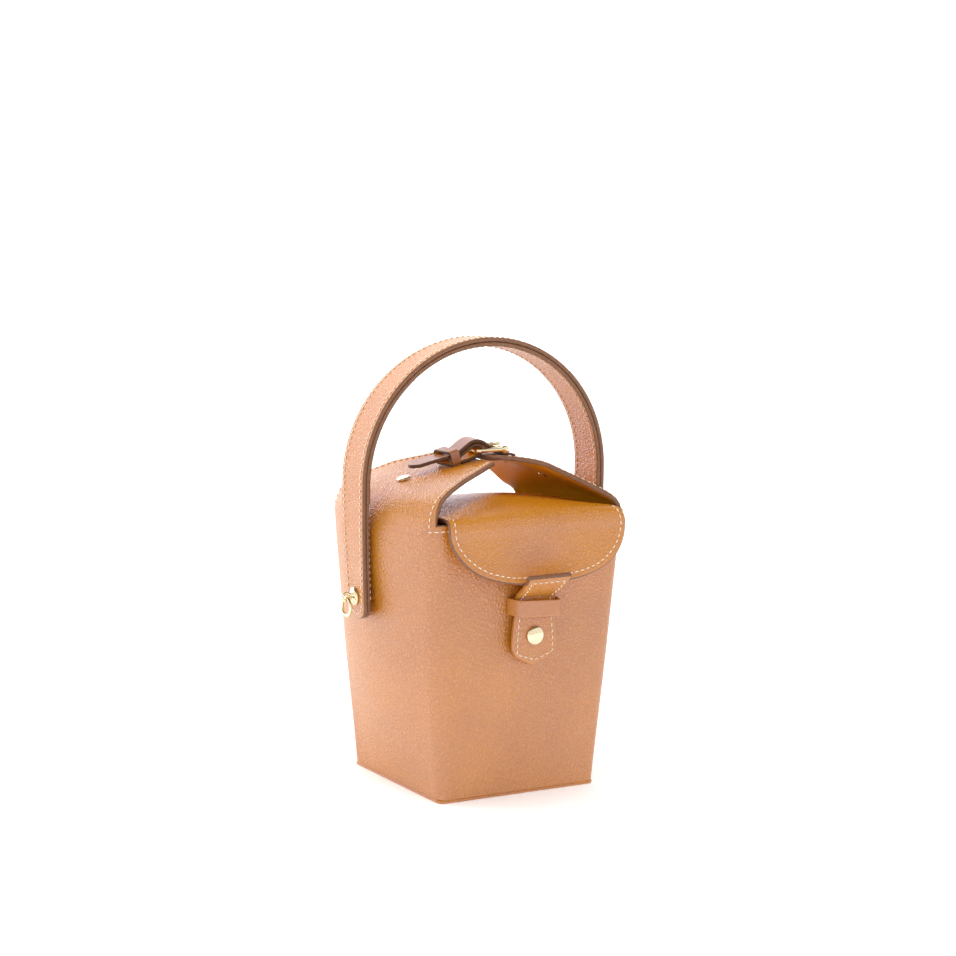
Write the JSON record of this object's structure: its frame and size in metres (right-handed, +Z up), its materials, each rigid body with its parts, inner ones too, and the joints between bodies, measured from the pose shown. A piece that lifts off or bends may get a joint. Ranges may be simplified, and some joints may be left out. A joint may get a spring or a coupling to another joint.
{
  "type": "handbag",
  "caption": "Small box-shaped leather handbag: flaring walls, side flaps that meet at a buckled ridge, a lid with a round tongue and closure tab, and an arched top handle.",
  "frame": {"origin": "middle of the underside of the base panel", "axes": "+Z up, -Y towards the front with the closure tab, +X to the right as seen from the front"},
  "size_m": [0.1778, 0.1545, 0.2667],
  "materials": {
    "grained_leather": "pebbled cow leather, semi-matt, cut edges painted brown",
    "base_leather": "plain leather board, semi-matt, edge painted brown",
    "gold_plate": "polished pale gold plate"
  },
  "bodies": {
    "root": {"body_wrap": "grained_leather", "base_panel": "base_leather", "lid": "grained_leather", "closure_tab": "grained_leather", "tab_keeper": "grained_leather", "tab_stud": "gold_plate", "handle_outer_ply": "grained_leather", "handle_inner_ply": "grained_leather", "handle_end_ply_left": "grained_leather", "handle_end_ply_right": "grained_leather", "handle_stud_left": "gold_plate", "handle_stud_right": "gold_plate", "side_ring_left": "gold_plate", "side_ring_right": "gold_plate", "flap_rivet_left": "gold_plate", "flap_rivet_right": "gold_plate", "buckle_strap": "grained_leather", "tail_strap": "grained_leather", "tail_rivet": "gold_plate", "buckle_frame": "gold_plate", "buckle_prong": "gold_plate", "buckle_keeper": "grained_leather"}
  },
  "joints": []
}
